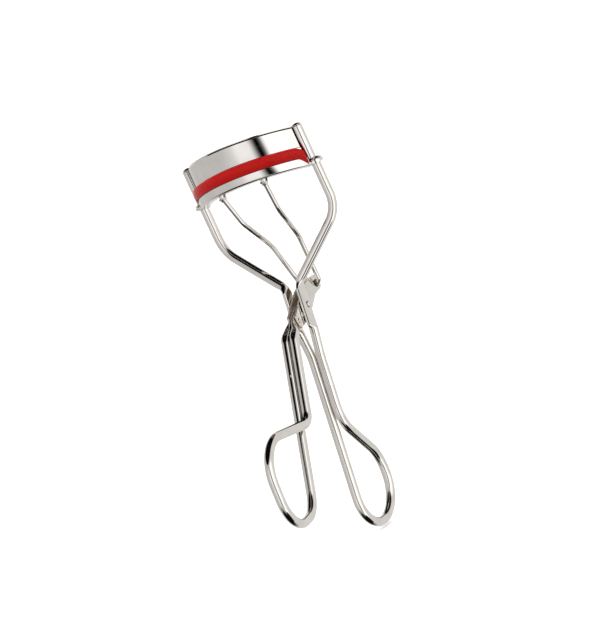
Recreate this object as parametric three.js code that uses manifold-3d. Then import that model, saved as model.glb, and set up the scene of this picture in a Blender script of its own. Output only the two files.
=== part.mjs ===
// Wire-frame eyelash curler, jaws closed. Units are millimetres, +Z runs up along the two guide
// posts, +X is the width of the head and -Y is the front, the side that the finger loops lean to.
//
// Everything is drawn around the pivot, at y = 0 and z = 0, and the finished group is then moved so
// that its origin is the middle of the bottom of its bounding box.

import * as THREE from 'three';
import { mergeVertices } from 'three/addons/utils/BufferGeometryUtils.js';
import Module from 'manifold-3d';

const wasm = await Module();
wasm.setup();

// ---- driving dimensions ----

const wireRadius = 1.3; // the thick handle wire
const wireSides = 12;
const postHalfSpan = 18.4; // half the distance between the two guide posts
const postY = 7.6;
const pairHalfGap = 1.35; // half the distance between the two wires of one handle

const sleeve = { outer: 1.5, inner: 1.0, bottom: 35.55, top: 45.1, x: 17.95, y: 7.05 };
const slit = { width: 0.5, length: 1.7 }; // the open seam of each rolled sleeve
const neckRadius = 0.65; // the wire's turned-down end inside the sleeve
const neckHead = { radius: 1.5, bottom: 45.3, shoulder: 45.4, top: 45.75 };

const blade = { wireX: 2.4, x: 2.2, halfThickness: 0.5, widen: 1.7 };
const bladeSpan = { top: 4.6, topBlend: 2.4, bottom: -5.0, bottomBlend: 0.9 };
const bladeTop = { y: 0.75, z: 6.3 };
const bladeBottom = { y: -2.1, z: -5.1 };

const arcHalfWidth = 16.8; // half the chord of the curved jaws
const arcDepth = 9.4; // how far the jaws bulge forward
const arcEndY = 5.86;
const arcRadius = (arcHalfWidth ** 2 + arcDepth ** 2) / (2 * arcDepth);
const arcCentreY = arcEndY - arcDepth + arcRadius;
const arcHalfAngle = Math.asin(arcHalfWidth / arcRadius);
const arcSegments = 40;
const jawSlope = 0.27; // the jaws climb this much per millimetre towards the front

const band = { bottom: 39.35, top: 45.55, halfThickness: 0.35 };
const channel = { bottom: 33.7, top: 36.15, halfWidth: 1.4, wall: 0.4, floor: 0.6, legHole: 1.05 };
const pad = { top: 39.15, stem: 0.75, bead: 1.7, beadBottom: 36.35, gap: 0.2, endGap: 0.3, bevel: 0.6 };

const ear = { bottom: 33.9, top: 34.7, outer: 2.3, hole: 1.78, notch: 2.5 };
const eyelet = { inner: 1.4, outer: 1.68, flange: 2.3, bottom: 33.7, shoulder: 34.95, top: 35.35, rim: 0.5 };

const thinRadius = 0.7; // the thin yoke wire
const yokeX = 6.87; // where the yoke meets the channel
const yokeTop = { y: -2.1, z: 36.2 };
const yokeBend = { x: 5.83, y: 1.0, z: 26.6 };
const yokeElbow = { x: 4.4, y: 7.9, z: 17.4 };
const hingeBar = { halfWidth: 2.7, y: 11.3, z: 3.1 };
const ferrule = { stem: 1.0, flare: 1.2, height: 0.9, bore: 0.78, drop: 1.95 };

const bracket = { halfWidth: 1.5, sheet: 0.6 };
const lip = { inner: 1.05, travel: 0.45 };
const pivotRivet = { shank: 0.6, hole: 0.7, head: 1.0, headHeight: 0.45 };
const leverRivet = { shank: 0.45, hole: 0.6, head: 0.75, headHeight: 0.2 };
const leverRivetPlaces = [{ y: -3.9, z: -1.55 }, { y: -6.2, z: -2.4 }];
const tongue = { wireX: pairHalfGap, x: 0.42, halfThickness: 0.3, widen: 1.35 };
const tongueSpan = { front: -9.6, blend: 1.8 };
const tongueEnd = { y: -2.5, z: -1.1 };
const tongueSlope = 0.376; // how far the tongue drops for each millimetre towards the front

// ---- materials ----

function steel(colour, roughness) {
  return new THREE.MeshStandardMaterial({ color: colour, roughness, metalness: 1 });
}

const nickel = steel(0xd6d2cc, 0.16);
const warmNickel = steel(0xc9bfae, 0.24);
const silicone = new THREE.MeshStandardMaterial({ color: 0xb5161a, roughness: 0.35, metalness: 0 });

// ---- booleans ----

function toManifold(geometry) {
  const bare = geometry.clone();
  bare.deleteAttribute('normal');
  bare.deleteAttribute('uv');
  const merged = mergeVertices(bare, 1e-4);
  const mesh = new wasm.Mesh({
    numProp: 3,
    vertProperties: new Float32Array(merged.attributes.position.array),
    triVerts: new Uint32Array(merged.index.array),
  });
  return new wasm.Manifold(mesh);
}

function toGeometry(solid) {
  const mesh = solid.getMesh();
  const geometry = new THREE.BufferGeometry();
  geometry.setAttribute('position', new THREE.BufferAttribute(mesh.vertProperties, 3));
  geometry.setIndex(new THREE.BufferAttribute(mesh.triVerts, 1));
  return geometry;
}

function join(first, ...others) {
  const joined = others.reduce((solid, geometry) => solid.add(toManifold(geometry)), toManifold(first));
  return toGeometry(joined);
}

function cut(first, ...others) {
  const left = others.reduce((solid, geometry) => solid.subtract(toManifold(geometry)), toManifold(first));
  return toGeometry(left);
}

// ---- round wire, bent from straight runs ----

// A path of straight runs and round bends. Each section of the swept wire sits on one station, so
// straight runs stay cheap and bends stay round.
class BentPath extends THREE.Curve {
  constructor(corners, straightStep, bendStep) {
    super();
    this.stations = [];
    const points = corners.map((corner) => new THREE.Vector3(corner.x, corner.y, corner.z));
    let runStart = points[0];
    for (let i = 1; i < points.length - 1; i += 1) {
      const into = points[i].clone().sub(points[i - 1]).normalize();
      const out = points[i + 1].clone().sub(points[i]).normalize();
      const turn = into.angleTo(out);
      const reach = corners[i].r * Math.tan(turn / 2);
      const bendStart = points[i].clone().addScaledVector(into, -reach);
      this.addRun(runStart, bendStart, straightStep);
      this.addBend(bendStart, into, out, turn, corners[i].r, bendStep);
      runStart = points[i].clone().addScaledVector(out, reach);
    }
    const last = points[points.length - 1];
    this.addRun(runStart, last, straightStep);
    const end = last.clone().sub(runStart).normalize();
    this.stations.push({ point: last, tangent: end });
  }

  addRun(start, end, step) {
    const count = Math.max(1, Math.ceil(start.distanceTo(end) / step));
    const tangent = end.clone().sub(start).normalize();
    for (let i = 0; i < count; i += 1) {
      this.stations.push({ point: start.clone().lerp(end, i / count), tangent });
    }
  }

  addBend(start, into, out, turn, radius, step) {
    const inward = out.clone().addScaledVector(into, -Math.cos(turn)).normalize();
    const count = Math.max(1, Math.ceil(turn / step));
    for (let i = 0; i < count; i += 1) {
      const angle = (turn * i) / count;
      const point = start.clone().addScaledVector(into, radius * Math.sin(angle));
      point.addScaledVector(inward, radius * (1 - Math.cos(angle)));
      const tangent = into.clone().multiplyScalar(Math.cos(angle));
      tangent.addScaledVector(inward, Math.sin(angle));
      this.stations.push({ point, tangent });
    }
  }

  getUtoTmapping(u) {
    return u;
  }

  stationAt(t) {
    const place = t * (this.stations.length - 1);
    return this.stations[Math.round(place)];
  }

  getPoint(t) {
    return this.stationAt(t).point.clone();
  }

  getTangent(t) {
    return this.stationAt(t).tangent.clone();
  }
}

function circleShape(radius, sides) {
  const shape = new THREE.Shape();
  for (let i = 0; i <= sides; i += 1) {
    const angle = (2 * Math.PI * i) / sides;
    const place = [radius * Math.cos(angle), radius * Math.sin(angle)];
    if (i === 0) shape.moveTo(...place);
    else shape.lineTo(...place);
  }
  return shape;
}

function sweepWire(corners, radius, sides, straightStep, bendStep) {
  const path = new BentPath(corners, straightStep, bendStep);
  const steps = path.stations.length - 1;
  return new THREE.ExtrudeGeometry(circleShape(radius, sides), { steps, extrudePath: path });
}

// Presses part of a pair of round wires flat. Their sides are clipped to a thickness across X, moved
// from press.wireX to press.x, and spread sideways in the YZ plane. weight gives 0 for round and 1
// for fully pressed at a place.
function pressFlat(geometry, from, to, press, weight) {
  const along = new THREE.Vector3(0, to.y - from.y, to.z - from.z).normalize();
  const across = new THREE.Vector3(0, along.z, -along.y);
  const positions = geometry.attributes.position;
  const vertex = new THREE.Vector3();
  for (let i = 0; i < positions.count; i += 1) {
    vertex.fromBufferAttribute(positions, i);
    const w = weight(vertex);
    const offset = vertex.clone().sub(new THREE.Vector3(0, from.y, from.z));
    const spread = offset.dot(across) * (press.widen - 1);
    const side = Math.sign(vertex.x);
    const fromMiddle = vertex.x - side * press.wireX;
    const kept = THREE.MathUtils.clamp(fromMiddle, -press.halfThickness, press.halfThickness);
    const pressedX = side * press.x + kept;
    vertex.addScaledVector(across, spread * w);
    vertex.x = THREE.MathUtils.lerp(vertex.x, pressedX, w);
    positions.setXYZ(i, vertex.x, vertex.y, vertex.z);
  }
  return geometry;
}

// ---- small solids ----

function rodAlongX(radius, halfLength, y, z, sides) {
  const rod = new THREE.CylinderGeometry(radius, radius, 2 * halfLength, sides);
  return rod.rotateZ(Math.PI / 2).translate(0, y, z);
}

function rodAlongZ(radius, bottom, top, x, y, sides) {
  const rod = new THREE.CylinderGeometry(radius, radius, top - bottom, sides);
  return rod.rotateX(Math.PI / 2).translate(x, y, (top + bottom) / 2);
}

function turned(profile, sides) {
  const points = profile.map(([radius, height]) => new THREE.Vector2(radius, height));
  return new THREE.LatheGeometry(points, sides).rotateX(Math.PI / 2);
}

// An outline given as [y, z], made into a plate from -halfWidth to halfWidth across X.
function plateAcrossX(outline, halfWidth, centreX) {
  const geometry = new THREE.ExtrudeGeometry(outline, {
    depth: 2 * halfWidth,
    bevelEnabled: false,
    curveSegments: 10,
  });
  geometry.translate(0, 0, -halfWidth);
  geometry.applyMatrix4(new THREE.Matrix4().set(0, 0, 1, 0, 1, 0, 0, 0, 0, 1, 0, 0, 0, 0, 0, 1));
  return geometry.translate(centreX, 0, 0);
}

// ---- the curved jaws ----

// Gives the jaws their climb towards the front: heights rise with the distance ahead of the ends.
function climb(geometry) {
  const shear = new THREE.Matrix4();
  shear.set(1, 0, 0, 0, 0, 1, 0, 0, 0, -jawSlope, 1, jawSlope * arcEndY, 0, 0, 0, 1);
  return geometry.applyMatrix4(shear);
}

// A curved strip seen from above, centred on the jaw arc, with the given half width.
function arcStrip(halfWidth, halfAngle) {
  const shape = new THREE.Shape();
  const start = -Math.PI / 2 - halfAngle;
  const end = -Math.PI / 2 + halfAngle;
  shape.absarc(0, arcCentreY, arcRadius + halfWidth, start, end, false);
  shape.absarc(0, arcCentreY, arcRadius - halfWidth, end, start, true);
  shape.closePath();
  return shape;
}

function curvedBar(halfWidth, halfAngle, bottom, top, bevel) {
  const geometry = new THREE.ExtrudeGeometry(arcStrip(halfWidth - bevel, halfAngle), {
    depth: top - bottom - 2 * bevel,
    curveSegments: arcSegments,
    bevelEnabled: bevel > 0,
    bevelThickness: bevel,
    bevelSize: bevel,
    bevelSegments: 3,
  });
  return geometry.translate(0, 0, bottom + bevel);
}

function makeUpperBand() {
  const reach = 1.2 / arcRadius; // runs the strip on into the rolled ends
  const strip = climb(curvedBar(band.halfThickness, arcHalfAngle + reach, band.bottom, band.top, 0));
  const rolls = [-1, 1].map((side) => (
    rodAlongZ(sleeve.outer, sleeve.bottom, sleeve.top, side * sleeve.x, sleeve.y, 24)
  ));
  const bores = [-1, 1].map((side) => (
    rodAlongZ(sleeve.inner, sleeve.bottom - 1, sleeve.top + 1, side * sleeve.x, sleeve.y, 24)
  ));
  const overRolls = [-1, 1].map((side) => (
    rodAlongZ(neckHead.radius + 0.2, sleeve.top, sleeve.top + 2, side * sleeve.x, sleeve.y, 24)
  ));
  return cut(join(strip, ...rolls), ...bores, ...overRolls, ...[-1, 1].map(sleeveSlit));
}

// The seam of a rolled sleeve: a slot along the front face of the strip, from outside into the bore.
function sleeveSlit(side) {
  const blank = new THREE.BoxGeometry(slit.width, slit.length, 20);
  const angle = side * arcHalfAngle;
  const offset = arcRadius + band.halfThickness + slit.width / 2;
  blank.translate(offset, side * 0.5 * slit.length, sleeve.top - 6);
  return blank.rotateZ(angle - Math.PI / 2).translate(0, arcCentreY, 0);
}

function makePadChannel() {
  const reach = 1 / arcRadius; // runs the channel on into its ears
  const bodyAngle = arcHalfAngle + reach;
  const body = climb(curvedBar(channel.halfWidth, bodyAngle, channel.bottom, channel.top, 0));
  const grooveBottom = channel.bottom + channel.floor;
  const grooveHalf = channel.halfWidth - channel.wall;
  const groove = climb(curvedBar(grooveHalf, bodyAngle + reach, grooveBottom, channel.top + 1, 0));
  const ears = [-1, 1].map((side) => (
    rodAlongZ(ear.outer, ear.bottom, ear.top, side * postHalfSpan, postY, 24)
  ));
  const holes = [-1, 1].map((side) => (
    rodAlongZ(ear.hole, ear.bottom - 2, ear.top + 1, side * postHalfSpan, postY, 24)
  ));
  const notches = [-1, 1].map((side) => (
    rodAlongZ(ear.notch, ear.top, ear.top + 4, side * postHalfSpan, postY, 24)
  ));
  const legHoleY = yokeTop.y + 0.1; // the legs lean back through the channel's floor
  const legHoles = [-1, 1].map((side) => (
    rodAlongZ(channel.legHole, channel.bottom, channel.top + 2, side * yokeX, legHoleY, 16)
  ));
  return cut(join(cut(body, groove), ...ears), ...holes, ...notches, ...legHoles);
}

// A stem in the channel's groove under a rounded bead.
function makeLashPad() {
  const bottom = channel.bottom + channel.floor + pad.gap;
  const stemAngle = arcHalfAngle - pad.endGap / arcRadius;
  const beadAngle = stemAngle - pad.bevel / arcRadius;
  const stem = curvedBar(pad.stem, stemAngle, bottom, pad.beadBottom + 1, 0);
  const bead = curvedBar(pad.bead, beadAngle, pad.beadBottom, pad.top, pad.bevel);
  return climb(join(stem, bead));
}

function makeEyelet() {
  const { inner, outer, flange, bottom, shoulder, top, rim } = eyelet;
  return turned([
    [inner, bottom],
    [outer, bottom],
    [outer, top - rim],
    [flange, top - rim],
    [flange, shoulder],
    [inner + 0.1, top],
    [inner, top],
    [inner, bottom],
  ], 24);
}

// ---- the thin yoke that carries the lower jaw ----

function yokeCorners(side) {
  return [
    { x: side * yokeX, y: yokeTop.y, z: yokeTop.z, r: 0 },
    { x: side * yokeBend.x, y: yokeBend.y, z: yokeBend.z, r: 6 },
    { x: side * yokeElbow.x, y: yokeElbow.y, z: yokeElbow.z, r: 8 },
    { x: side * hingeBar.halfWidth, y: hingeBar.y, z: hingeBar.z, r: 1.3 },
  ];
}

function makeYoke() {
  const corners = [...yokeCorners(1), ...yokeCorners(-1).reverse()];
  return sweepWire(corners, thinRadius, 10, 4, 0.2);
}

function makeFerrule() {
  const { stem, flare, height, bore } = ferrule;
  return turned([
    [bore, 0],
    [stem, 0],
    [stem, height - 0.5],
    [flare, height - 0.2],
    [flare, height],
    [bore, height],
    [bore, 0],
  ], 16);
}

// Threads a ferrule on a yoke leg, close under the channel.
function seatOnYokeLeg(collar, side) {
  const top = new THREE.Vector3(side * yokeX, yokeTop.y, yokeTop.z);
  const leg = top.clone().sub(new THREE.Vector3(side * yokeBend.x, yokeBend.y, yokeBend.z)).normalize();
  collar.quaternion.setFromUnitVectors(new THREE.Vector3(0, 0, 1), leg);
  collar.position.copy(top).addScaledVector(leg, -ferrule.drop);
}

// ---- the fixed frame ----

const handleTop = { y: -3.5, z: -13.5 }; // where the two wires have drawn together below the blades
const handleLean = 0.2437; // how far the fixed handle runs forward for each millimetre down

function frameHandleY(z) {
  return -1.17 + handleLean * z;
}

// The end of a guide post: turned down to pass through the sleeve and headed over on top of it.
function makeNeck() {
  const foot = sleeve.bottom - 1;
  return turned([
    [0, foot],
    [neckRadius, foot],
    [neckRadius, neckHead.bottom],
    [neckHead.radius, neckHead.bottom],
    [neckHead.radius, neckHead.shoulder],
    [neckHead.radius * 0.6, neckHead.top],
    [0, neckHead.top],
  ], 16);
}

function makeFrameWire() {
  const loopBottom = -61.3;
  const arm = (side) => [
    { x: side * postHalfSpan, y: postY, z: sleeve.bottom - 0.3, r: 0 },
    { x: side * postHalfSpan, y: postY, z: 20.6, r: 9 },
    { x: side * blade.wireX, y: bladeTop.y, z: bladeTop.z, r: 4 },
    { x: side * blade.wireX, y: bladeBottom.y, z: bladeBottom.z, r: 3 },
    { x: side * pairHalfGap, ...handleTop, r: 12 },
  ];
  const loop = [
    { x: pairHalfGap, y: frameHandleY(-31.6) + 0.35, z: -31.6, r: 9 },
    { x: 1.1, y: 3.7, z: -45.9, r: 12 },
    { x: 0, y: 3.7, z: loopBottom, r: 10 },
    { x: -pairHalfGap, y: frameHandleY(loopBottom), z: loopBottom, r: 7.6 },
  ];
  const wire = sweepWire([...arm(1), ...loop, ...arm(-1).reverse()], wireRadius, wireSides, 3, 0.19);
  pressFlat(wire, bladeTop, bladeBottom, blade, (vertex) => {
    const { top, topBlend, bottom, bottomBlend } = bladeSpan;
    const below = 1 - THREE.MathUtils.smoothstep(vertex.z, top, top + topBlend);
    return below * THREE.MathUtils.smoothstep(vertex.z, bottom - bottomBlend, bottom);
  });
  const necks = [-1, 1].map((side) => makeNeck().translate(side * sleeve.x, sleeve.y, 0));
  const hole = rodAlongX(pivotRivet.hole, 6, 0, 0, 24);
  return cut(join(wire, ...necks), hole);
}

// ---- the moving lever ----

const leverLean = 0.6; // how far the lever handle runs forward for each millimetre down

function leverHandleY(z) {
  return -9.82 + leverLean * z;
}

function makeLeverWire() {
  const loopBottom = -46.5;
  const loopFront = -53.6;
  const end = (side) => [
    { x: side * pairHalfGap, ...tongueEnd, r: 0 },
    { x: side * pairHalfGap, y: -12.8, z: -4.97, r: 3.5 },
    { x: side * pairHalfGap, y: leverHandleY(-14), z: -14, r: 5 },
  ];
  const loop = [
    { x: pairHalfGap, y: leverHandleY(-25.85), z: -25.85, r: 4 },
    { x: 1, y: loopFront, z: -21.6, r: 10 },
    { x: -0.2, y: loopFront, z: loopBottom, r: 9.2 },
    { x: -pairHalfGap, y: leverHandleY(loopBottom), z: loopBottom, r: 9 },
  ];
  return sweepWire([...end(1), ...loop, ...end(-1).reverse()], wireRadius, wireSides, 3, 0.19);
}

function pressTongue(wire) {
  const front = { y: tongueEnd.y - 1, z: tongueEnd.z - tongueSlope };
  const { front: middle, blend } = tongueSpan;
  return pressFlat(wire, tongueEnd, front, tongue, (vertex) => (
    THREE.MathUtils.smoothstep(vertex.y, middle - blend, middle + blend)
  ));
}

function makeLever() {
  const holes = leverRivetPlaces.map(({ y, z }) => rodAlongX(leverRivet.hole, 6, y, z, 16));
  return cut(pressTongue(makeLeverWire()), ...holes);
}

function bracketWall() {
  const wall = new THREE.Shape();
  wall.moveTo(-6.6, -4.5);
  wall.lineTo(-7.2, -1.6);
  wall.quadraticCurveTo(-7.1, -0.7, -6.3, -0.3);
  wall.lineTo(-1.2, 2.2);
  wall.quadraticCurveTo(1.5, 3.6, 4.2, 4.4);
  wall.lineTo(10.4, 5.6);
  wall.quadraticCurveTo(14.0, 5.7, 14.05, 3.3);
  wall.quadraticCurveTo(13.9, 1.4, 11.6, 1.3);
  wall.lineTo(8.6, 0.9);
  wall.quadraticCurveTo(4.6, -0.4, 2.9, -1.7);
  wall.quadraticCurveTo(0.6, -3.2, -2.0, -3.5);
  wall.closePath();
  return wall;
}

// The floor of the folded sheet, which follows the lower edge of its walls.
function bracketFloor() {
  const floor = new THREE.Shape();
  const rise = bracket.sheet;
  floor.moveTo(-2.0, -3.5);
  floor.lineTo(-2.0, -3.5 + rise);
  floor.quadraticCurveTo(0.4, -3.2 + rise, 2.6, -1.7 + rise);
  floor.quadraticCurveTo(4.4, -0.3 + rise, 8.4, 0.9 + rise);
  floor.lineTo(11.0, 1.25 + rise);
  floor.lineTo(11.6, 1.3);
  floor.lineTo(8.6, 0.9);
  floor.quadraticCurveTo(4.6, -0.4, 2.9, -1.7);
  floor.quadraticCurveTo(0.6, -3.2, -2.0, -3.5);
  floor.closePath();
  return floor;
}

function slotShape(radius) {
  const slot = new THREE.Shape();
  slot.absarc(hingeBar.y + lip.travel, hingeBar.z, radius, -Math.PI / 2, Math.PI / 2, false);
  slot.absarc(hingeBar.y - lip.travel, hingeBar.z, radius, Math.PI / 2, (3 * Math.PI) / 2, false);
  slot.closePath();
  return slot;
}

function makeBracket() {
  const { halfWidth, sheet } = bracket;
  const walls = [-1, 1].map((side) => (
    plateAcrossX(bracketWall(), sheet / 2, side * (halfWidth - sheet / 2))
  ));
  const floor = plateAcrossX(bracketFloor(), halfWidth, 0);
  const curl = plateAcrossX(slotShape(lip.inner + sheet), halfWidth, 0);
  const slot = plateAcrossX(slotShape(lip.inner), halfWidth + 1, 0);
  const pivotHole = rodAlongX(pivotRivet.hole, 6, 0, 0, 24);
  const rivetHoles = leverRivetPlaces.map(({ y, z }) => rodAlongX(leverRivet.hole, 6, y, z, 16));
  return cut(join(floor, ...walls, curl), slot, pivotHole, ...rivetHoles);
}

// A rivet across X with a low domed head at each end.
function makeRivet(spec, headFace, sides) {
  const end = headFace + spec.headHeight;
  return turned([
    [0, -end],
    [spec.head * 0.6, -end],
    [spec.head, -headFace - spec.headHeight * 0.4],
    [spec.head, -headFace],
    [spec.shank, -headFace],
    [spec.shank, headFace],
    [spec.head, headFace],
    [spec.head, headFace + spec.headHeight * 0.4],
    [spec.head * 0.6, end],
    [0, end],
  ], sides).rotateY(Math.PI / 2);
}

// ---- assembly ----

const curler = new THREE.Group();

function addPart(name, geometry, material, place = [0, 0, 0]) {
  const mesh = new THREE.Mesh(geometry, material);
  mesh.name = name;
  mesh.position.set(...place);
  curler.add(mesh);
  return mesh;
}

addPart('frame_wire', makeFrameWire(), nickel);
addPart('upper_band', makeUpperBand(), nickel);
addPart('pad_channel', makePadChannel(), nickel);
addPart('lash_pad', makeLashPad(), silicone);
addPart('yoke_wire', makeYoke(), nickel);
addPart('lever_wire', makeLever(), nickel);
addPart('lever_bracket', makeBracket(), warmNickel);
addPart('pivot_rivet', makeRivet(pivotRivet, blade.x + blade.halfThickness + 0.05, 24), nickel);
leverRivetPlaces.forEach(({ y, z }, index) => {
  const rivet = makeRivet(leverRivet, bracket.halfWidth + 0.05, 16);
  addPart(`lever_rivet_${index + 1}`, rivet, nickel, [0, y, z]);
});
for (const [name, side] of [['left', -1], ['right', 1]]) {
  addPart(`guide_eyelet_${name}`, makeEyelet(), nickel, [side * postHalfSpan, postY, 0]);
  const collar = addPart(`yoke_ferrule_${name}`, makeFerrule(), nickel);
  seatOnYokeLeg(collar, side);
}

const box = new THREE.Box3().setFromObject(curler, true);
const middle = box.getCenter(new THREE.Vector3());
curler.position.set(-middle.x, -middle.y, -box.min.z);

export default curler;
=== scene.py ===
import math

import bpy
import numpy as np
from mathutils import Matrix, Vector


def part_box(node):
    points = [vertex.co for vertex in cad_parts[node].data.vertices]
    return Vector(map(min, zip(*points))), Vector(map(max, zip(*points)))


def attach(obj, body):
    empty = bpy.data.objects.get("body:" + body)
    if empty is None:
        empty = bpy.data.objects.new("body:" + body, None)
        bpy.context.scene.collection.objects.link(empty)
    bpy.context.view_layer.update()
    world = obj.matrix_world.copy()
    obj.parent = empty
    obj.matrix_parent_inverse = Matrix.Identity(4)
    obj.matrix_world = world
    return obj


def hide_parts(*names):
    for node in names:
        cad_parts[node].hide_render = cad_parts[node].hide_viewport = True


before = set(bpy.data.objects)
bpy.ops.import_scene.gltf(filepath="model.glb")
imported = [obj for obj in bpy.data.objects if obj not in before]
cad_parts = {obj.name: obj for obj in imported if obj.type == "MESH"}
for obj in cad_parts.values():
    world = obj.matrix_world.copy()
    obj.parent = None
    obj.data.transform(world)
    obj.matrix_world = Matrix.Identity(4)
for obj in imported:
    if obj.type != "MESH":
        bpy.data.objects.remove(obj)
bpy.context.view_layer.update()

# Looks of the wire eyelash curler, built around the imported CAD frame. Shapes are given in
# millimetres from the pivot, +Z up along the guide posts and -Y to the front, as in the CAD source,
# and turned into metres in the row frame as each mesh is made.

low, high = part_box("pivot_rivet")
PIVOT = (low + high) / 2
MM = 0.001

# ---- driving dimensions, in millimetres ----

WIRE_RADIUS = 1.3
THIN_RADIUS = 0.7
POST_X, POST_Y = 18.4, 7.6
PAIR_X = 1.35  # half the distance between the two wires of one handle
HANDLE_TOP = Vector((0, -3.5, -13.5))  # where the frame's wires have drawn together

SLEEVE = {"x": 17.95, "y": 7.05, "outer": 1.5, "inner": 1.0, "bottom": 35.55, "top": 45.1}
SLIT_WIDTH, SLIT_LENGTH = 0.5, 1.7  # the open seam of each rolled sleeve
NECK_RADIUS = 0.65
NECK_HEAD = {"radius": 1.52, "bottom": 45.2, "shoulder": 45.32, "top": 45.8}

ARC_HALF_WIDTH, ARC_DEPTH, ARC_END_Y = 16.8, 9.4, 5.86
ARC_RADIUS = (ARC_HALF_WIDTH ** 2 + ARC_DEPTH ** 2) / (2 * ARC_DEPTH)
ARC_CENTRE_Y = ARC_END_Y - ARC_DEPTH + ARC_RADIUS
ARC_HALF_ANGLE = math.asin(ARC_HALF_WIDTH / ARC_RADIUS)
JAW_SLOPE = 0.27  # the jaws climb this much per millimetre towards the front

BAND_BOTTOM, BAND_TOP, BAND_HALF = 39.3, 45.55, 0.35
TOP_SLOPE, TOP_LIP = 0.45, 0.28  # heights of the band's sloping top land and of the thin lip over it
CHANNEL = {"bottom": 33.7, "top": 36.15, "half": 1.4, "wall": 0.4, "floor": 0.6}
FLAP_LEFT, FLAP_RIGHT = 0.6, 2.1  # how far the pad's front edge hangs down at each end
PAD_END_DROP, PAD_END_REACH = 0.7, 2.4  # how far its top dips at an end, and over what length
PAD = {"stem": 0.75, "bead": 1.7, "top": 39.25, "flap": 1.5, "end_gap": 0.25}
EAR = {"bottom": 33.9, "top": 34.7, "outer": 2.3, "hole": 1.78, "notch": 2.5}
EYELET = {
    "inner": 1.4, "outer": 1.68, "flange": 2.3,
    "bottom": 33.7, "shoulder": 34.95, "top": 35.4, "rim": 0.5,
}

YOKE_TOP = Vector((6.87, -2.1, 36.2))
YOKE_BEND = Vector((5.83, 1.0, 26.6))
YOKE_ELBOW = Vector((4.4, 7.9, 17.4))
HINGE_BAR = Vector((2.7, 11.3, 3.1))
FERRULE = {"stem": 1.0, "flare": 1.2, "height": 0.9, "bore": 0.78, "drop": 1.75}

BLADE = {"wire_x": 2.4, "x": 2.2, "half": 0.5, "widen": 1.7}
BLADE_TOP, BLADE_BOTTOM = Vector((0, 0.75, 6.3)), Vector((0, -2.1, -5.1))
TONGUE = {"wire_x": PAIR_X, "x": 0.42, "half": 0.3, "widen": 1.35}
TONGUE_END = Vector((0, -2.5, -1.1))
LEVER_RIVETS = [(-3.9, -1.55), (-6.2, -2.4)]
BRACKET_HALF, SHEET = 1.5, 0.6
LIP_INNER, LIP_TRAVEL = 1.05, 0.45
PIVOT_SHANK, PIVOT_HOLE, PIVOT_HEAD, PIVOT_DOME = 0.6, 0.7, 1.0, 0.5
LEVER_SHANK, LEVER_HEAD, LEVER_DOME = 0.45, 0.75, 0.2
HEAD_CLEARANCE = 0.05  # between a rivet's heads and the faces under them

FRAME_LEAN, FRAME_AT_PIVOT = 0.2437, -1.17  # the fixed handle's line: y = at pivot + lean * z
LEVER_LEAN, LEVER_AT_PIVOT = 0.6, -9.82
FRAME_LOOP_BOTTOM = -61.3
LEVER_LOOP_FRONT, LEVER_LOOP_BOTTOM = -53.6, -46.5
BLADE_BLEND = {"bottom": (-5.9, -5.0), "top": (4.6, 7.0)}  # heights over which the wire goes flat
TONGUE_BLEND = (-11.4, -7.8)
TONGUE_SLOPE = 0.376  # how far the tongue drops for each millimetre towards the front


# ---- meshes ----

def make_object(name, points, faces, crease=40):
    """A smooth-shaded mesh object in the row frame from points in millimetres from the pivot."""
    mesh = bpy.data.meshes.new(name)
    placed = np.asarray(points, float) * MM + np.array(PIVOT)
    mesh.from_pydata(placed.tolist(), [], faces)
    mesh.validate()
    mesh.shade_smooth()
    mesh.set_sharp_from_angle(angle=math.radians(crease))
    made = bpy.data.objects.new(name, mesh)
    bpy.context.scene.collection.objects.link(made)
    return made


def bake_modifiers(target, crease=40):
    """Replaces a mesh by what its modifiers make of it."""
    graph = bpy.context.evaluated_depsgraph_get()
    baked = bpy.data.meshes.new_from_object(target.evaluated_get(graph))
    target.modifiers.clear()
    target.data = baked
    baked.shade_smooth()
    baked.set_sharp_from_angle(angle=math.radians(crease))
    return target


def combine(target, tools, operation):
    for tool in tools:
        boolean = target.modifiers.new("combine", "BOOLEAN")
        boolean.operation = operation
        boolean.solver = "EXACT"
        boolean.object = tool
    bake_modifiers(target)
    for tool in tools:
        bpy.data.objects.remove(tool)
    return target


def join(target, *tools):
    return combine(target, tools, "UNION")


def cut(target, *tools):
    return combine(target, tools, "DIFFERENCE")


def soften(target, width, segments=3, angle=35):
    """Rounds the sharp edges left by cutting and joining."""
    bevel = target.modifiers.new("soften", "BEVEL")
    bevel.width = width * MM
    bevel.segments = segments
    bevel.limit_method = "ANGLE"
    bevel.angle_limit = math.radians(angle)
    return bake_modifiers(target, crease=50)


def loft(rings):
    """Points and faces of a closed skin over rings of equal length, capped at both ends."""
    count = len(rings[0])
    points = [p for ring in rings for p in ring]
    faces = [tuple(range(count - 1, -1, -1))]
    for i in range(len(rings) - 1):
        for j in range(count):
            k = (j + 1) % count
            faces.append((i * count + j, i * count + k, (i + 1) * count + k, (i + 1) * count + j))
    last = (len(rings) - 1) * count
    faces.append(tuple(range(last, last + count)))
    return np.array([tuple(p) for p in points]), faces


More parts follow.
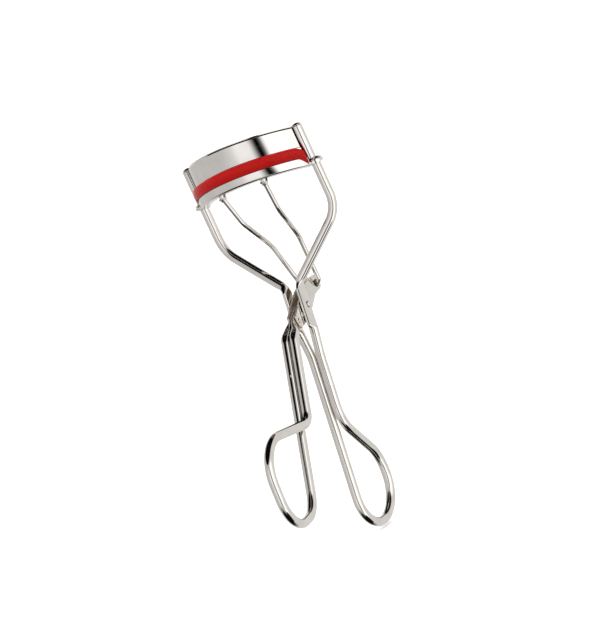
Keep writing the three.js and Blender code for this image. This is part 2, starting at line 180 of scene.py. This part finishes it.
def fillet(corners, steps=5):
    """A closed 2-D outline from corners (a, b, radius), with each corner rounded by its radius."""
    outline = []
    count = len(corners)
    for i, (a, b, radius) in enumerate(corners):
        here = Vector((a, b))
        if radius == 0:
            outline.append((a, b))
            continue
        back = (Vector(corners[i - 1][:2]) - here).normalized()
        ahead = (Vector(corners[(i + 1) % count][:2]) - here).normalized()
        half = back.angle(ahead) / 2
        reach = radius / math.tan(half)
        centre = here + (back + ahead).normalized() * (radius / math.sin(half))
        start = here + back * reach - centre
        end = here + ahead * reach - centre
        sweep = start.angle_signed(end)
        for k in range(steps + 1):
            turn = -sweep * k / steps
            c, s = math.cos(turn), math.sin(turn)
            outline.append((centre.x + start.x * c - start.y * s, centre.y + start.x * s + start.y * c))
    return outline


def bent_path(corners, straight_step=2.0, bend_step=0.07):
    """Places and directions along straight runs joined by round bends. A corner is (x, y, z, radius)."""
    places = [Vector(corner[:3]) for corner in corners]
    stations = []
    run_start = places[0]
    for i in range(1, len(places) - 1):
        into = (places[i] - places[i - 1]).normalized()
        out = (places[i + 1] - places[i]).normalized()
        turn = into.angle(out)
        radius = corners[i][3]
        reach = radius * math.tan(turn / 2)
        bend_start = places[i] - into * reach
        stations += straight_run(run_start, bend_start, straight_step)
        inward = (out - into * math.cos(turn)).normalized()
        steps = max(2, math.ceil(turn / bend_step))
        for k in range(steps):
            angle = turn * k / steps
            place = bend_start + into * radius * math.sin(angle)
            place += inward * radius * (1 - math.cos(angle))
            stations.append((place, into * math.cos(angle) + inward * math.sin(angle)))
        run_start = places[i] + out * reach
    stations += straight_run(run_start, places[-1], straight_step)
    stations.append((places[-1], (places[-1] - run_start).normalized()))
    return stations


def straight_run(start, end, step):
    count = max(1, math.ceil((end - start).length / step))
    direction = (end - start).normalized()
    return [(start.lerp(end, i / count), direction) for i in range(count)]


def sweep_wire(stations, radius, sides):
    """A round wire with slightly rounded ends, its sections turned as little as possible."""
    side = stations[0][1].orthogonal().normalized()
    rings = []
    last = len(stations) - 1
    for i, (place, direction) in enumerate(stations):
        side = (side - direction * side.dot(direction)).normalized()
        up = direction.cross(side)
        sections = [(0, 1)]
        if i == 0:
            sections = [(0, 0.7), (0.12, 0.92), (0.3, 1)]
        if i == last:
            sections = [(-0.3, 1), (-0.12, 0.92), (0, 0.7)]
        for forward, scale in sections:
            centre = place + direction * forward * radius
            rings.append([
                centre + (side * math.cos(a) + up * math.sin(a)) * radius * scale
                for a in (2 * math.pi * k / sides for k in range(sides))
            ])
    return loft(rings)


def smoothstep(value, start, end):
    t = np.clip((value - start) / (end - start), 0, 1)
    return t * t * (3 - 2 * t)


def press_flat(points, start, end, press, weight):
    """Presses a pair of wires flat across X where weight is 1, and spreads them sideways."""
    along = (end - start).normalized()
    across = Vector((0, along.z, -along.y))
    spread = (points - np.array(start)) @ np.array(across) * (press["widen"] - 1)
    side = np.sign(points[:, 0])
    from_middle = points[:, 0] - side * press["wire_x"]
    half = press["half"]
    kept = half * np.tanh((from_middle / half) ** 3 / 1.3 + from_middle / half * 0.35)
    pressed = side * press["x"] + np.clip(kept, -half, half)
    moved = points + np.outer(spread * weight, across)
    moved[:, 0] = points[:, 0] * (1 - weight) + pressed * weight
    return moved


def cylinder_x(radius, half_length, y, z, sides=48):
    """A rod across X, for cutting holes."""
    return make_object("tool", *loft([
        [(x, y + radius * math.cos(a), z + radius * math.sin(a))
         for a in (2 * math.pi * k / sides for k in range(sides))]
        for x in (-half_length, half_length)
    ]))


def cylinder_z(radius, bottom, top, x, y, sides=64):
    return make_object("tool", *loft([
        [(x + radius * math.cos(a), y + radius * math.sin(a), z)
         for a in (2 * math.pi * k / sides for k in range(sides))]
        for z in (bottom, top)
    ]))


def turned_ring(profile, sides=64):
    """Points and faces of a closed (radius, height) profile turned round Z."""
    count = len(profile)
    points = []
    faces = []
    for i in range(sides):
        angle = 2 * math.pi * i / sides
        points += [(r * math.cos(angle), r * math.sin(angle), h) for r, h in profile]
        j = (i + 1) % sides
        for k in range(count):
            m = (k + 1) % count
            faces.append((i * count + k, j * count + k, j * count + m, i * count + m))
    return np.array(points), faces


def plate(outline, half_width, centre_x=0):
    """A (y, z) outline made into a plate across X."""
    return make_object("tool", *loft([
        [(centre_x + x, y, z) for y, z in outline] for x in (-half_width, half_width)
    ]))


# ---- the curved jaws ----

def on_arc(angle, offset, height):
    """A point of the jaws: angle round the arc, offset outwards from it, and height before the climb."""
    x = (ARC_RADIUS + offset) * math.sin(angle)
    y = ARC_CENTRE_Y - (ARC_RADIUS + offset) * math.cos(angle)
    return (x, y, height - JAW_SLOPE * (y - ARC_END_Y))


def arc_sweep(profile, half_angle, segments=120):
    rings = []
    for i in range(segments + 1):
        angle = half_angle * (2 * i / segments - 1)
        rings.append([on_arc(angle, offset, height) for offset, height in profile])
    return loft(rings)


def make_band():
    """The upper band, with a sloping land under its top lip, joined to the two rolled sleeves."""
    half = BAND_HALF
    profile = fillet([
        (-half, BAND_BOTTOM, 0.2), (half, BAND_BOTTOM, 0.2),
        (half, BAND_TOP - TOP_LIP - TOP_SLOPE, 0.15), (0, BAND_TOP - TOP_LIP, 0.04),
        (0, BAND_TOP, 0.1), (-half, BAND_TOP, 0.1),
    ], steps=6)
    strip = make_object("rolled_band", *arc_sweep(profile, ARC_HALF_ANGLE + 1.2 / ARC_RADIUS))
    rolls, bores = [], []
    for side in (-1, 1):
        x, y = side * SLEEVE["x"], SLEEVE["y"]
        roll = turned_ring(fillet([
            (SLEEVE["inner"], SLEEVE["bottom"], 0.15), (SLEEVE["outer"], SLEEVE["bottom"], 0.2),
            (SLEEVE["outer"], SLEEVE["top"], 0.2), (SLEEVE["inner"], SLEEVE["top"], 0.15),
        ]))
        rolls.append(make_object("tool", roll[0] + np.array((x, y, 0)), roll[1]))
        bores.append(cylinder_z(SLEEVE["inner"], SLEEVE["bottom"] - 1, SLEEVE["top"] + 1, x, y))
    cut(strip, *bores)
    join(strip, *rolls)
    return cut(strip, slit_blank(-1), slit_blank(1))


def slit_blank(side):
    """A thin block along the front face of the strip, from outside a rolled sleeve into its bore."""
    inner, outer = BAND_HALF, BAND_HALF + SLIT_WIDTH
    across = Vector((math.cos(ARC_HALF_ANGLE) * side, math.sin(ARC_HALF_ANGLE)))
    outward = Vector((math.sin(ARC_HALF_ANGLE) * side, -math.cos(ARC_HALF_ANGLE)))
    middle = Vector((0, ARC_CENTRE_Y))
    corners = [
        middle + outward * (ARC_RADIUS + offset) + across * along
        for offset, along in ((inner, 0), (outer, 0), (outer, SLIT_LENGTH), (inner, SLIT_LENGTH))
    ]
    if side < 0:
        corners.reverse()
    return make_object("tool", *loft([
        [(corner.x, corner.y, z) for corner in corners]
        for z in (SLEEVE["bottom"] - 1, SLEEVE["top"] + 1)
    ]))


def make_channel():
    """The folded channel of the lower jaw, running out into an ear round each post."""
    half, wall = CHANNEL["half"], CHANNEL["wall"]
    bottom, top = CHANNEL["bottom"], CHANNEL["top"]
    floor = bottom + CHANNEL["floor"]
    profile = fillet([
        (-half, bottom, 0.5), (half, bottom, 0.5), (half, top, 0.18), (half - wall, top, 0.18),
        (half - wall, floor, 0.2), (wall - half, floor, 0.2),
        (wall - half, top, 0.18), (-half, top, 0.18),
    ])
    body = make_object("jaw_channel", *arc_sweep(profile, ARC_HALF_ANGLE + 1 / ARC_RADIUS))
    ears, holes = [], []
    for side in (-1, 1):
        x = side * POST_X
        ears.append(cylinder_z(EAR["outer"], EAR["bottom"], EAR["top"], x, POST_Y))
        holes.append(cylinder_z(EAR["hole"], EAR["bottom"] - 2, EAR["top"] + 1, x, POST_Y))
        holes.append(cylinder_z(EAR["notch"], EAR["top"], EAR["top"] + 4, x, POST_Y))
    join(body, *ears)
    cut(body, *holes)
    return soften(body, 0.12)


def pad_section(top_drop, flap_drop, front):
    """A section of the pad: a stem in the groove and a bead that laps over the front wall."""
    stem, back = PAD["stem"], PAD["bead"]
    bottom, lip = CHANNEL["bottom"] + CHANNEL["floor"] + 0.2, CHANNEL["top"] + 0.1
    flap, flap_foot = PAD["flap"], lip - 0.12 - flap_drop
    top = PAD["top"] - top_drop
    return fillet([
        (-stem, bottom, 0.15), (stem, bottom, 0.15), (stem, lip, 0.05), (flap, lip, 0.05),
        (flap, flap_foot, 0.03), (front - 0.1, flap_foot, 0.08),
        (front + 0.12, flap_foot + 1.3, 2.4), (front - 0.25, top, 0.9),
        (-back, top, 0.8), (-back, lip, 0.3), (-stem, lip, 0.05),
    ], steps=7)


def make_pad():
    """The silicone pad. Its front edge hangs over the channel at both ends, further at the right."""
    end = ARC_HALF_ANGLE - PAD["end_gap"] / ARC_RADIUS
    rings = []
    segments = 160
    for i in range(segments + 1):
        angle = end * (2 * i / segments - 1)
        from_end = (end - abs(angle)) * ARC_RADIUS
        nearness = max(0.0, 1 - from_end / PAD_END_REACH)
        top_drop = PAD_END_DROP * nearness ** 2
        flap_drop = (FLAP_RIGHT if angle > 0 else FLAP_LEFT) * nearness ** 1.5
        round_off = math.sqrt(max(0.0, 1 - (1 - min(1.0, from_end / 0.9)) ** 2))
        front = PAD["flap"] + 0.14 + 0.18 * round_off
        rings.append([
            on_arc(angle, offset * (0.9 + 0.1 * round_off if offset < 0 else 1), height)
            for offset, height in pad_section(top_drop, flap_drop, front)
        ])
    return make_object("silicone_pad", *loft(rings), crease=60)


def make_eyelet(name, side):
    e = EYELET
    flare = e["top"] - e["rim"]
    points, faces = turned_ring(fillet([
        (e["inner"], e["bottom"], 0.08), (e["outer"], e["bottom"], 0.12),
        (e["outer"], flare, 0.04), (e["flange"], flare, 0.08),
        (e["flange"], e["shoulder"], 0.05), (e["inner"] + 0.1, e["top"], 0.04),
        (e["inner"], e["top"], 0.03),
    ]))
    return make_object(name, points + np.array((side * POST_X, POST_Y, 0)), faces)


# ---- the yoke ----

def make_yoke():
    def leg(side):
        corners = ((YOKE_TOP, 0), (YOKE_BEND, 6), (YOKE_ELBOW, 8), (HINGE_BAR, 1.3))
        return [(side * place.x, place.y, place.z, radius) for place, radius in corners]
    path = bent_path(leg(1) + leg(-1)[::-1])
    return make_object("yoke_bent", *sweep_wire(path, THIN_RADIUS, 32))


def make_ferrule(name, side):
    f = FERRULE
    points, faces = turned_ring(fillet([
        (f["bore"], 0, 0.04), (f["stem"], 0, 0.1), (f["stem"], f["height"] - 0.5, 0.12),
        (f["flare"], f["height"] - 0.2, 0.06), (f["flare"], f["height"], 0.06),
        (f["bore"], f["height"], 0.04),
    ]), sides=48)
    top = Vector((side * YOKE_TOP.x, YOKE_TOP.y, YOKE_TOP.z))
    leg = (top - Vector((side * YOKE_BEND.x, YOKE_BEND.y, YOKE_BEND.z))).normalized()
    turn = np.array(Vector((0, 0, 1)).rotation_difference(leg).to_matrix())
    seat = np.array(top - leg * f["drop"])
    return make_object(name, points @ turn.T + seat, faces)


# ---- the fixed frame ----

def frame_handle(z):
    return FRAME_AT_PIVOT + FRAME_LEAN * z


def make_frame_wire():
    def arm(side):
        return [
            (side * POST_X, POST_Y, SLEEVE["bottom"] - 0.3, 0),
            (side * POST_X, POST_Y, 20.6, 9),
            (side * BLADE["wire_x"], BLADE_TOP.y, BLADE_TOP.z, 4),
            (side * BLADE["wire_x"], BLADE_BOTTOM.y, BLADE_BOTTOM.z, 3),
            (side * PAIR_X, HANDLE_TOP.y, HANDLE_TOP.z, 12),
        ]
    loop = [
        (PAIR_X, frame_handle(-31.6) + 0.35, -31.6, 9),
        (1.1, 3.7, -45.9, 12),
        (0, 3.7, FRAME_LOOP_BOTTOM, 10),
        (-PAIR_X, frame_handle(FRAME_LOOP_BOTTOM), FRAME_LOOP_BOTTOM, 7.6),
    ]
    path = bent_path(arm(1) + loop + arm(-1)[::-1], straight_step=0.7)
    points, faces = sweep_wire(path, WIRE_RADIUS, 40)
    z = points[:, 2]
    weight = (1 - smoothstep(z, *BLADE_BLEND["top"])) * smoothstep(z, *BLADE_BLEND["bottom"])
    points = press_flat(points, BLADE_TOP, BLADE_BOTTOM, BLADE, weight)
    wire = make_object("frame_wire_bent", points, faces)
    cut(wire, cylinder_x(PIVOT_HOLE, 6, 0, 0))
    return join(wire, make_neck(-1), make_neck(1))


def make_neck(side):
    """The end of a guide post: turned down inside the sleeve, with a low conical head on top."""
    head, foot, top = NECK_HEAD["radius"], NECK_HEAD["bottom"], NECK_HEAD["top"]
    shoulder = NECK_HEAD["shoulder"]
    profile = [(NECK_RADIUS, SLEEVE["bottom"] - 1), (NECK_RADIUS, foot), (head - 0.08, foot)]
    profile += [(head, foot + 0.06), (head, shoulder), (head * 0.5, top - 0.03), (head * 0.3, top)]
    x, y, sides = side * SLEEVE["x"], SLEEVE["y"], 40
    return make_object("tool", *loft([
        [(x + r * math.cos(a), y + r * math.sin(a), z)
         for a in (2 * math.pi * k / sides for k in range(sides))]
        for r, z in profile
    ]))


# ---- the lever ----

def lever_handle(z):
    return LEVER_AT_PIVOT + LEVER_LEAN * z


def make_lever_wire():
    def end(side):
        return [
            (side * PAIR_X, TONGUE_END.y, TONGUE_END.z, 0),
            (side * PAIR_X, -12.8, -4.97, 3.5),
            (side * PAIR_X, lever_handle(-14), -14, 5),
        ]
    loop = [
        (PAIR_X, lever_handle(-25.85), -25.85, 4),
        (1, LEVER_LOOP_FRONT, -21.6, 10),
        (-0.2, LEVER_LOOP_FRONT, LEVER_LOOP_BOTTOM, 9.2),
        (-PAIR_X, lever_handle(LEVER_LOOP_BOTTOM), LEVER_LOOP_BOTTOM, 9),
    ]
    path = bent_path(end(1) + loop + end(-1)[::-1], straight_step=0.7)
    points, faces = sweep_wire(path, WIRE_RADIUS, 40)
    weight = smoothstep(points[:, 1], *TONGUE_BLEND)
    front = Vector((0, TONGUE_END.y - 1, TONGUE_END.z - TONGUE_SLOPE))
    points = press_flat(points, TONGUE_END, front, TONGUE, weight)
    return make_object("lever_wire_bent", points, faces)


def bracket_wall():
    return fillet([
        (-6.6, -4.5, 0.3), (-7.3, -0.8, 0.8), (-1.2, 2.2, 6), (3.4, 4.25, 8), (9.6, 5.45, 3),
        (13.9, 5.5, 2.1), (13.6, 1.3, 1.9), (8.6, 0.9, 4), (3.6, -1.7, 5), (-0.4, -3.5, 3),
    ], steps=8)


def make_bracket():
    """The folded sheet: two walls, a floor between them and a curled, slotted lip."""
    walls = [plate(bracket_wall(), SHEET / 2, side * (BRACKET_HALF - SHEET / 2)) for side in (-1, 1)]
    bracket, other_wall = walls
    bracket.name = "folded_bracket"
    floor = plate([
        (-2.0, -3.72), (0.4, -3.14), (3.4, -1.8), (6.0, -0.45), (8.2, 0.72), (11.0, 1.1),
        (10.4, 1.7), (8.0, 1.32), (6.0, 0.2), (3.2, -1.2), (0.2, -2.54), (-2.0, -3.12),
    ], BRACKET_HALF)
    curl = plate(slot_outline(LIP_INNER + SHEET), BRACKET_HALF)
    slot = plate(slot_outline(LIP_INNER), BRACKET_HALF + 1)
    join(bracket, other_wall, floor, curl)
    cut(bracket, slot, cylinder_x(PIVOT_HOLE, 6, 0, 0))
    return soften(bracket, 0.12)


def slot_outline(radius, steps=20):
    outline = []
    for centre, start in ((LIP_TRAVEL, -90), (-LIP_TRAVEL, 90)):
        for i in range(steps + 1):
            angle = math.radians(start + 180 * i / steps)
            outline.append((
                HINGE_BAR.y + centre + radius * math.cos(angle),
                HINGE_BAR.z + radius * math.sin(angle),
            ))
    return outline


def make_rivet(name, shank, head, height, face, y=0, z=0, sides=64):
    """A rivet across X with a shallow domed head at each end."""
    dome = [(head * math.cos(a), face + 0.1 + (height - 0.1) * math.sin(a))
            for a in (math.pi / 2 * k / 8 for k in range(9))]
    half = [(shank, face), (head - 0.06, face), (head, face + 0.05)] + dome[:-1]
    profile = [(r, -x) for r, x in reversed(half)] + half
    rings = []
    for radius, x in profile:
        rings.append([
            (x, y + radius * math.cos(a), z + radius * math.sin(a))
            for a in (2 * math.pi * k / sides for k in range(sides))
        ])
    return make_object(name, *loft(rings), crease=50)


# ---- materials ----

def new_material(name):
    made = bpy.data.materials.new(name)
    made.use_nodes = True
    nodes = made.node_tree.nodes
    return made, nodes, made.node_tree.links, nodes["Principled BSDF"]


def math_node(nodes, links, operation, *values):
    node = nodes.new("ShaderNodeMath")
    node.operation = operation
    for socket, value in zip(node.inputs, values):
        if hasattr(value, "links"):
            links.new(value, socket)
        else:
            socket.default_value = value
    return node.outputs[0]


def noise(nodes, links, scale, detail):
    """A noise fixed to the object, with scale in features per metre."""
    where = nodes.new("ShaderNodeTexCoord")
    texture = nodes.new("ShaderNodeTexNoise")
    texture.inputs["Scale"].default_value = scale
    texture.inputs["Detail"].default_value = detail
    links.new(where.outputs["Object"], texture.inputs["Vector"])
    return texture.outputs["Fac"]


def ramp(nodes, links, value, stops):
    mix = nodes.new("ShaderNodeValToRGB")
    elements = mix.color_ramp.elements
    for i, (place, colour) in enumerate(stops):
        element = elements[i] if i < 2 else elements.new(place)
        element.position = place
        element.color = (*colour, 1)
    links.new(value, mix.inputs["Fac"])
    return mix.outputs["Color"]


def bump(nodes, links, value, height, shader):
    raised = nodes.new("ShaderNodeBump")
    raised.inputs["Strength"].default_value = 1.0
    raised.inputs["Distance"].default_value = height
    links.new(value, raised.inputs["Height"])
    links.new(raised.outputs["Normal"], shader.inputs["Normal"])


def nickel_with_painted_reflection(name, light, dark, rough, wave, painted_reflection_colour, half_width):
    """Nickel sheet whose inner faces, nearer the middle than half_width, are duller and carry a painted
    warm reflection in their colour.
    """
    made = nickel(name, light, dark, rough, wave)
    nodes, links = made.node_tree.nodes, made.node_tree.links
    shader = nodes["Principled BSDF"]
    outer = shader.inputs["Base Color"].links[0].from_socket
    across = nodes.new("ShaderNodeSeparateXYZ")
    links.new(nodes.new("ShaderNodeTexCoord").outputs["Object"], across.inputs[0])
    distance = math_node(nodes, links, "ABSOLUTE", across.outputs["X"])
    inside = math_node(nodes, links, "LESS_THAN", distance, half_width * MM)
    # The inner faces get a warm colour that is a painted reflection, mixed in over the mottled nickel.
    mix = nodes.new("ShaderNodeMix")
    mix.data_type = "RGBA"
    links.new(inside, mix.inputs["Factor"])
    links.new(outer, mix.inputs[6])
    mix.inputs[7].default_value = (*painted_reflection_colour, 1)
    links.new(mix.outputs[2], shader.inputs["Base Color"])
    polished = shader.inputs["Roughness"].links[0].from_socket
    duller = math_node(nodes, links, "MULTIPLY_ADD", inside, 0.3, polished)
    links.new(duller, shader.inputs["Roughness"])
    return made


def nickel(name, light, dark, rough, wave):
    """Polished nickel plate: faint mottling, uneven polish and a slight ripple."""
    made, nodes, links, shader = new_material(name)
    shader.inputs["Metallic"].default_value = 1.0
    mottle = noise(nodes, links, 260, 4)
    links.new(ramp(nodes, links, mottle, [(0.35, dark), (0.7, light)]), shader.inputs["Base Color"])
    polish = noise(nodes, links, 900, 6)
    low_rough, high_rough = ((rough * k,) * 3 for k in (0.7, 1.6))
    roughness = ramp(nodes, links, polish, [(0.4, low_rough), (0.75, high_rough)])
    links.new(roughness, shader.inputs["Roughness"])
    bump(nodes, links, noise(nodes, links, 420, 2), wave, shader)
    return made


def silicone(name):
    """Glossy red silicone, slightly translucent, with a fine moulded mottle."""
    made, nodes, links, shader = new_material(name)
    mottle = noise(nodes, links, 500, 5)
    links.new(
        ramp(nodes, links, mottle, [(0.3, (0.33, 0.002, 0.001)), (0.75, (0.37, 0.003, 0.0013))]),
        shader.inputs["Base Color"],
    )
    polish = noise(nodes, links, 1500, 4)
    links.new(
        ramp(nodes, links, polish, [(0.35, (0.24,) * 3), (0.75, (0.32,) * 3)]),
        shader.inputs["Roughness"],
    )
    shader.inputs["Specular IOR Level"].default_value = 0.12
    shader.inputs["Subsurface Weight"].default_value = 0.1
    shader.inputs["Subsurface Radius"].default_value = (0.001, 0.0002, 0.0001)
    bump(nodes, links, noise(nodes, links, 2600, 3), 0.000002, shader)
    return made


def pale_floor(name):
    made, nodes, links, shader = new_material(name)
    grain = noise(nodes, links, 40, 3)
    links.new(
        ramp(nodes, links, grain, [(0.3, (0.93, 0.93, 0.93)), (0.7, (0.96, 0.96, 0.96))]),
        shader.inputs["Base Color"],
    )
    shader.inputs["Roughness"].default_value = 0.9
    return made


# ---- assembly ----

def show(piece, body, node, material):
    piece.data.materials.clear()
    piece.data.materials.append(material)
    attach(piece, body)
    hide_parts(node)


wire_nickel = nickel("wire nickel", (0.82, 0.80, 0.775), (0.74, 0.715, 0.685), 0.035, 0.000001)
sheet_nickel = nickel("sheet nickel", (0.84, 0.82, 0.80), (0.77, 0.75, 0.73), 0.06, 0.000001)
# The bracket's nickel, with a painted warm reflection on the inner faces of its walls.
bracket_nickel_painted_warm = nickel_with_painted_reflection(
    "nickel with painted warm reflection", (0.80, 0.78, 0.755), (0.72, 0.70, 0.67), 0.09, 0.000002,
    painted_reflection_colour=(0.78, 0.69, 0.60), half_width=BRACKET_HALF - 0.05,
)
rivet_steel = nickel("rivet steel", (0.78, 0.76, 0.74), (0.66, 0.64, 0.62), 0.08, 0.000002)
red_silicone = silicone("red silicone")

show(make_frame_wire(), "frame", "frame_wire", wire_nickel)
show(make_band(), "frame", "upper_band", sheet_nickel)
pivot_face = BLADE["x"] + BLADE["half"] + HEAD_CLEARANCE
pivot = make_rivet("pivot_rivet_domed", PIVOT_SHANK, PIVOT_HEAD, PIVOT_DOME, pivot_face)
show(pivot, "frame", "pivot_rivet", rivet_steel)
show(make_lever_wire(), "lever", "lever_wire", wire_nickel)
show(make_bracket(), "lever", "lever_bracket", bracket_nickel_painted_warm)
for number, (y, z) in enumerate(LEVER_RIVETS, start=1):
    rivet = make_rivet(
        f"lever_rivet_{number}_domed", LEVER_SHANK, LEVER_HEAD, LEVER_DOME,
        BRACKET_HALF + HEAD_CLEARANCE, y, z, sides=40,
    )
    show(rivet, "lever", f"lever_rivet_{number}", rivet_steel)
show(make_channel(), "jaw", "pad_channel", sheet_nickel)
pad = make_pad()
show(pad, "jaw", "lash_pad", red_silicone)
show(make_yoke(), "jaw", "yoke_wire", wire_nickel)
for side_name, side in (("left", -1), ("right", 1)):
    eyelet = make_eyelet(f"guide_eyelet_{side_name}_turned", side)
    show(eyelet, "jaw", f"guide_eyelet_{side_name}", rivet_steel)
    ferrule = make_ferrule(f"yoke_ferrule_{side_name}_turned", side)
    show(ferrule, "jaw", f"yoke_ferrule_{side_name}", rivet_steel)

# ---- floor, light and camera ----

FLOOR_HALF, FLOOR_DROP = 1.5, -0.0005  # metres


def make_floor():
    half = FLOOR_HALF
    corners = [(-half, -half, 0), (half, -half, 0), (half, half, 0), (-half, half, 0)]
    mesh = bpy.data.meshes.new("floor")
    mesh.from_pydata(corners, [], [(0, 1, 2, 3)])
    made = bpy.data.objects.new("floor", mesh)
    bpy.context.scene.collection.objects.link(made)
    mesh.materials.append(pale_floor("pale floor"))
    made.location.z = FLOOR_DROP
    made.visible_glossy = False
    made.visible_diffuse = False


TENT_BASE = 0.8  # brightness of the tent's plain cloth
# What the metal reflects: a pale tent with patches. Each patch is (centre azimuth, centre elevation,
# radius, soft edge, brightness), in degrees, with azimuth 0 in front of the curler and 90 at its right.
TENT_PATCHES = [
    (0, 90, 54, 8, 0.55),  # the open top of the tent, with a dark room beyond
    (180, 87, 47, 3, 0.003),
    (-45, -63, 41, 10, 0.30),  # the opening under the curler
    (-45, -63, 30, 5, 0.003),
    (50, -62, 20, 6, 0.01),
]
# Upright strips: (azimuth, half width, lowest elevation, highest elevation, soft edge, brightness).
TENT_STRIPS = [
    (-75, 38, -60, 60, 25, 0.62),
    (8, 12, -16, 20, 12, 1.05),
    (58, 20, -50, 45, 4, 1.45),
    (86, 8, -14, 20, 4, 1.3),
    (28.5, 1.0, -36, 34, 15, 0.002),
]
SKY_GLOW, GROUND_GLOW = 1.7, 0.35  # light on matt surfaces from above and from below
TENT_COLOUR = (1.0, 0.98, 0.955, 1)


def step_node(nodes, links, value, start, end):
    """0 below start and 1 above end, with a smooth step between."""
    node = nodes.new("ShaderNodeMapRange")
    node.interpolation_type = "SMOOTHSTEP"
    node.inputs["From Min"].default_value = start
    node.inputs["From Max"].default_value = end
    links.new(value, node.inputs["Value"])
    return node.outputs[0]


def tent_brightness(nodes, links):
    direction = nodes.new("ShaderNodeTexCoord").outputs["Generated"]
    parts = nodes.new("ShaderNodeSeparateXYZ")
    links.new(direction, parts.inputs[0])
    x, y, z = parts.outputs
    backward = math_node(nodes, links, "MULTIPLY", y, -1.0)
    azimuth = math_node(nodes, links, "ARCTAN2", x, backward)
    elevation = math_node(nodes, links, "ARCSINE", z)
    value = math_node(nodes, links, "ADD", TENT_BASE, 0.0)

    def lay(mask, brightness):
        gap = math_node(nodes, links, "SUBTRACT", brightness, value)
        return math_node(nodes, links, "MULTIPLY_ADD", mask, gap, value)

    for centre, half, lowest, highest, soft, brightness in TENT_STRIPS:
        centre, half, lowest, highest, soft = map(math.radians, (centre, half, lowest, highest, soft))
        away = math_node(nodes, links, "ABSOLUTE", math_node(nodes, links, "SUBTRACT", azimuth, centre))
        across = step_node(nodes, links, away, half + soft, half)
        above = step_node(nodes, links, elevation, lowest - soft, lowest + soft)
        below = step_node(nodes, links, elevation, highest + soft, highest - soft)
        upright = math_node(nodes, links, "MULTIPLY", above, below)
        mask = math_node(nodes, links, "MULTIPLY", across, upright)
        value = lay(mask, brightness)
    for centre, height, radius, soft, brightness in TENT_PATCHES:
        centre, height = math.radians(centre), math.radians(height)
        towards = nodes.new("ShaderNodeVectorMath")
        towards.operation = "DOT_PRODUCT"
        links.new(direction, towards.inputs[0])
        towards.inputs[1].default_value = (
            math.sin(centre) * math.cos(height),
            -math.cos(centre) * math.cos(height),
            math.sin(height),
        )
        start, end = (math.cos(math.radians(radius + soft * k)) for k in (0.5, -0.5))
        mask = step_node(nodes, links, towards.outputs["Value"], start, end)
        value = lay(mask, brightness)
    return value


def make_sky():
    """A tent of light: plain to the camera and matt surfaces, and patched in the metal's reflections."""
    world = bpy.data.worlds.new("tent")
    bpy.context.scene.world = world
    world.use_nodes = True
    nodes, links = world.node_tree.nodes, world.node_tree.links
    nodes["Background"].inputs["Color"].default_value = (1, 1, 1, 1)
    parts = nodes.new("ShaderNodeSeparateXYZ")
    links.new(nodes.new("ShaderNodeTexCoord").outputs["Generated"], parts.inputs[0])
    height = step_node(nodes, links, parts.outputs["Z"], -0.7, -0.1)
    glow = math_node(nodes, links, "MULTIPLY_ADD", height, SKY_GLOW - GROUND_GLOW, GROUND_GLOW)
    links.new(glow, nodes["Background"].inputs["Strength"])
    tent = nodes.new("ShaderNodeBackground")
    tent.inputs["Color"].default_value = TENT_COLOUR
    links.new(tent_brightness(nodes, links), tent.inputs["Strength"])
    ray = nodes.new("ShaderNodeLightPath")
    choose = nodes.new("ShaderNodeMixShader")
    links.new(ray.outputs["Is Glossy Ray"], choose.inputs["Fac"])
    links.new(nodes["Background"].outputs[0], choose.inputs[1])
    links.new(tent.outputs[0], choose.inputs[2])
    links.new(choose.outputs[0], nodes["World Output"].inputs["Surface"])


CAMERA_AZIMUTH, CAMERA_ELEVATION, CAMERA_ROLL = 28.36, 7.045, -24.67  # degrees
CAMERA_TARGET = Vector((6.798, 4.867, 64.123))  # millimetres in the row frame
CAMERA_DISTANCE = 0.79013  # metres
SENSOR_WIDTH = 36
FOCAL_RATIO = 3000 / 622  # focal length over sensor width


def make_camera():
    azimuth, elevation = math.radians(CAMERA_AZIMUTH), math.radians(CAMERA_ELEVATION)
    back = Vector((
        math.sin(azimuth) * math.cos(elevation),
        -math.cos(azimuth) * math.cos(elevation),
        math.sin(elevation),
    ))
    data = bpy.data.cameras.new("camera")
    data.sensor_width = SENSOR_WIDTH
    data.lens = FOCAL_RATIO * SENSOR_WIDTH
    camera = bpy.data.objects.new("camera", data)
    bpy.context.scene.collection.objects.link(camera)
    upright = (-back).to_track_quat("-Z", "Y").to_matrix().to_4x4()
    place = Matrix.Translation(CAMERA_TARGET * MM + back * CAMERA_DISTANCE)
    camera.matrix_world = place @ upright @ Matrix.Rotation(math.radians(CAMERA_ROLL), 4, "Z")
    bpy.context.scene.camera = camera


make_floor()
make_sky()
make_camera()
bpy.context.scene.view_settings.view_transform = "Standard"
